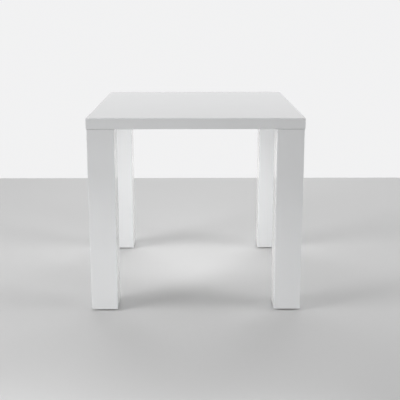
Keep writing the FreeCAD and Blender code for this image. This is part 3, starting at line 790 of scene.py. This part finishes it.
def floor_finish():
    """Plain, pale and matt."""
    made, tree, shader = new_finish("pale_floor")
    tone = drifting(tree, rgba(FLOOR_TONE), scale=1.5, amount=0.03)
    tree.links.new(tone, shader.inputs["Base Color"])
    shader.inputs["Roughness"].default_value = 1.0
    shader.inputs["Specular IOR Level"].default_value = 0.0
    return made


def seen_directly(tree):
    """One where the camera or a reflection looks, and nought where light travels."""
    path = add_node(tree, "ShaderNodeLightPath").outputs
    either = calculate(tree, "MAXIMUM", path["Is Camera Ray"], path["Is Glossy Ray"])
    return calculate(tree, "MAXIMUM", either, path["Is Transmission Ray"])


def wall_finish():
    """A pale wall that shows from inside the room only and stops no light."""
    made = bpy.data.materials.new("pale_wall")
    made.use_nodes = True
    tree = made.node_tree
    tree.nodes.clear()
    behind = add_node(tree, "ShaderNodeNewGeometry").outputs["Backfacing"]
    shown = calculate(tree, "MULTIPLY", seen_directly(tree), calculate(tree, "SUBTRACT", 1.0, behind))
    clear = add_node(tree, "ShaderNodeBsdfTransparent")
    bright = add_node(tree, "ShaderNodeEmission", {"Color": rgba(BACKDROP_TONE), "Strength": 1.0})
    mixed = add_node(tree, "ShaderNodeMixShader", {0: shown, 1: clear.outputs[0], 2: bright.outputs[0]})
    output = add_node(tree, "ShaderNodeOutputMaterial", {"Surface": mixed.outputs[0]})
    output.is_active_output = True
    return made


def floor():
    """Four slabs that meet under the middle of the table. Each goes up and down with the foot on it."""
    finish = floor_finish()
    size = Matrix.Diagonal((FLOOR_REACH, FLOOR_REACH, FLOOR_THICKNESS, 1))
    for corner in CORNERS:
        pad = f"{corner}_foot_base"
        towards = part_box(pad)[0]
        middle = (
            math.copysign(FLOOR_REACH / 2, towards.x),
            math.copysign(FLOOR_REACH / 2, towards.y),
            -FLOOR_THICKNESS / 2,
        )
        shape = bmesh.new()
        bmesh.ops.create_cube(shape, size=1.0, matrix=Matrix.Translation(middle) @ size)
        mesh = bpy.data.meshes.new(f"{corner}_floor")
        shape.to_mesh(mesh)
        shape.free()
        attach(stage_piece(mesh.name, mesh, finish), pad)


def walls():
    """Four walls round the floor that face the table."""
    finish = wall_finish()
    for name, distance, turn in (
        ("rear_wall", REAR_WALL, 0),
        ("left_wall", OTHER_WALLS, math.pi / 2),
        ("front_wall", OTHER_WALLS, math.pi),
        ("right_wall", OTHER_WALLS, -math.pi / 2),
    ):
        ends = ((-WALL_REACH, 0), (WALL_REACH, 0), (WALL_REACH, WALL_HEIGHT), (-WALL_REACH, WALL_HEIGHT))
        mesh = bpy.data.meshes.new(name)
        mesh.from_pydata([(x, distance, z) for x, z in ends], [], [(0, 1, 2, 3)])
        mesh.transform(Matrix.Rotation(turn, 4, "Z"))
        stage_piece(name, mesh, finish)


def area_lamp(name, place, aim, width, height, power, spread=180, mirrored=True):
    """A soft rectangular lamp. Its spread is in degrees, and it may be left out of reflections."""
    lamp = bpy.data.lights.new(name, "AREA")
    lamp.shape = "RECTANGLE"
    lamp.size = width
    lamp.size_y = height
    lamp.energy = power
    lamp.spread = math.radians(spread)
    made = new_object(name, lamp)
    made.location = place
    made.rotation_euler = (Vector(aim) - Vector(place)).to_track_quat("-Z", "Y").to_euler()
    made.visible_camera = False
    made.visible_glossy = mirrored


def world():
    """Faint light from all round, behind which the backdrop's tone shows."""
    made = bpy.data.worlds.new("studio")
    bpy.context.scene.world = made
    made.use_nodes = True
    tree = made.node_tree
    tree.nodes.clear()
    inputs = {"Color": rgba((1, 1, 1)), "Strength": ALL_ROUND_STRENGTH}
    around = add_node(tree, "ShaderNodeBackground", inputs)
    inputs = {"Color": rgba(BACKDROP_TONE), "Strength": 1.0}
    behind = add_node(tree, "ShaderNodeBackground", inputs)
    inputs = {0: seen_directly(tree), 1: around.outputs[0], 2: behind.outputs[0]}
    mixed = add_node(tree, "ShaderNodeMixShader", inputs)
    add_node(tree, "ShaderNodeOutputWorld", {"Surface": mixed.outputs[0]})


def lamps():
    """A window at each side, a panel high up behind, and two weak fills near the floor."""
    area_lamp(
        "left_window",
        place=(-3.9, -1.4, 1.8),
        aim=(-0.15, -0.1, 0.35),
        width=2.4,
        height=1.4,
        power=44,
        spread=110,
    )
    area_lamp("right_window", place=(4.5, -0.95, 1.8), aim=(0.0, 0.0, 0.4), width=2.4, height=1.8, power=99)
    area_lamp("rear_panel", place=(0.0, 3.0, 3.2), aim=(0.0, 0.0, 0.6), width=5.0, height=2.5, power=93)
    area_lamp(
        "low_fill",
        place=(-0.15, -1.25, 0.12),
        aim=(0.0, 0.3, 0.2),
        width=1.2,
        height=0.2,
        power=1.2,
        spread=120,
        mirrored=False,
    )
    area_lamp(
        "rear_leg_fill",
        place=(0.0, -0.35, 0.4),
        aim=(0.0, 0.6, 0.4),
        width=0.5,
        height=0.4,
        power=0.75,
        spread=130,
        mirrored=False,
    )


def camera():
    lens = bpy.data.cameras.new("camera")
    lens.sensor_width = SENSOR_WIDTH_MM
    lens.lens = FOCAL_PIXELS / FRAME_PIXELS * SENSOR_WIDTH_MM
    lens.shift_y = CAMERA_SHIFT
    made = new_object("camera", lens)
    made.location = CAMERA_PLACE
    made.rotation_euler = (math.pi / 2 - CAMERA_DIP, 0, -CAMERA_TURN)
    bpy.context.scene.camera = made


finish_nodes()
leg_bolts()
bolt_washers()
plate_screws()
foot_studs()
floor()
walls()
world()
lamps()
camera()
bpy.context.scene.view_settings.view_transform = "Standard"
